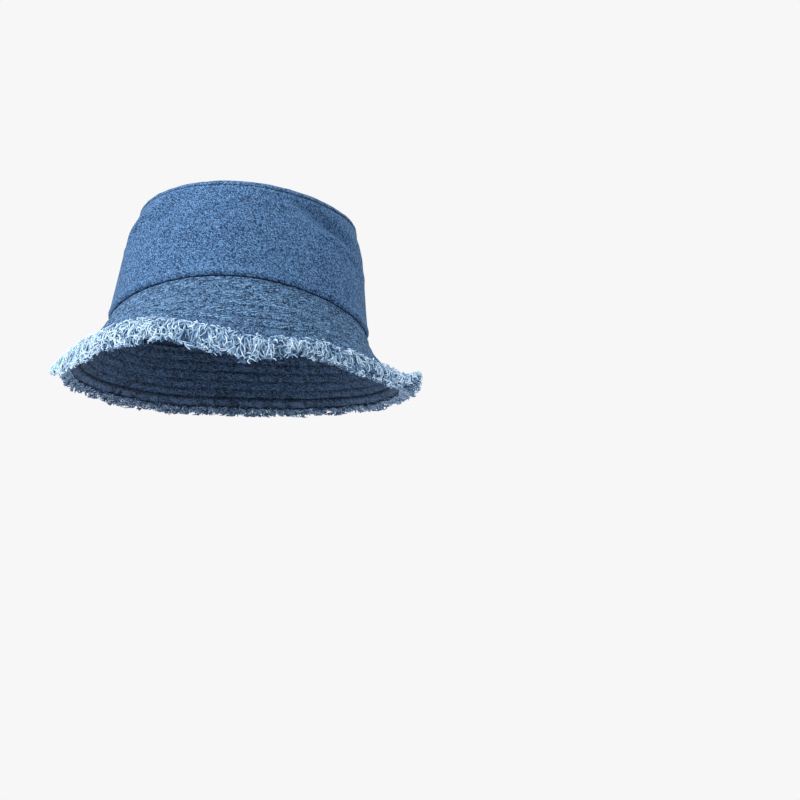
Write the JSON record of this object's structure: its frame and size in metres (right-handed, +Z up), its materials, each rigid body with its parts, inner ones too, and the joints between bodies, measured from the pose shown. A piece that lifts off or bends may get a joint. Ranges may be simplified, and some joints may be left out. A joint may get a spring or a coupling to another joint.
{
  "type": "bucket hat",
  "caption": "Frayed denim bucket hat: flat round crown over a drooping, row-stitched two-layer brim with a fringed raw edge, and a sweatband inside.",
  "frame": {"origin": "middle of the head opening, at the mean height of the seam between crown and brim", "axes": "+Z up through the crown, -Y to the wearer's front, +X to the wearer's left, with the side seams on the X axis"},
  "size_m": [0.2522, 0.2506, 0.1357],
  "materials": {
    "denim_crown": "washed mid-blue denim twill",
    "denim_brim": "washed blue denim twill, mottled by the stitch rows",
    "denim_under": "unwashed dark navy denim twill",
    "denim_strip": "washed blue denim twill",
    "denim_strip_under": "dark navy denim twill, a little faded",
    "frayed_threads": "loose crinkled cotton yarns, pale blue and white",
    "cotton_tape": "woven navy cotton tape",
    "sweatband_twill": "navy cotton twill sweatband",
    "interlining": "matte non-woven interlining",
    "sewing_thread": "matte spun thread, blue"
  },
  "bodies": {
    "root": {"crown_top": "denim_crown", "crown_side_front": "denim_crown", "crown_side_back": "denim_crown", "crown_seam_tape": "cotton_tape", "side_seam_tape_left": "cotton_tape", "side_seam_tape_right": "cotton_tape", "sweatband": "sweatband_twill", "brim_top_front": "denim_brim", "brim_top_back": "denim_brim", "brim_under_front": "denim_under", "brim_under_back": "denim_under", "interlining_front": "interlining", "interlining_back": "interlining", "edge_strip_top": "denim_strip", "edge_strip_under": "denim_strip_under", "fringe_top": "frayed_threads", "fringe_under": "frayed_threads", "crown_stitching": "sewing_thread", "side_seam_stitching": "sewing_thread", "sweatband_stitching": "sewing_thread", "brim_stitching_top": "sewing_thread", "brim_stitching_under": "sewing_thread", "strip_stitching_top": "sewing_thread", "strip_stitching_under": "sewing_thread"}
  },
  "joints": []
}
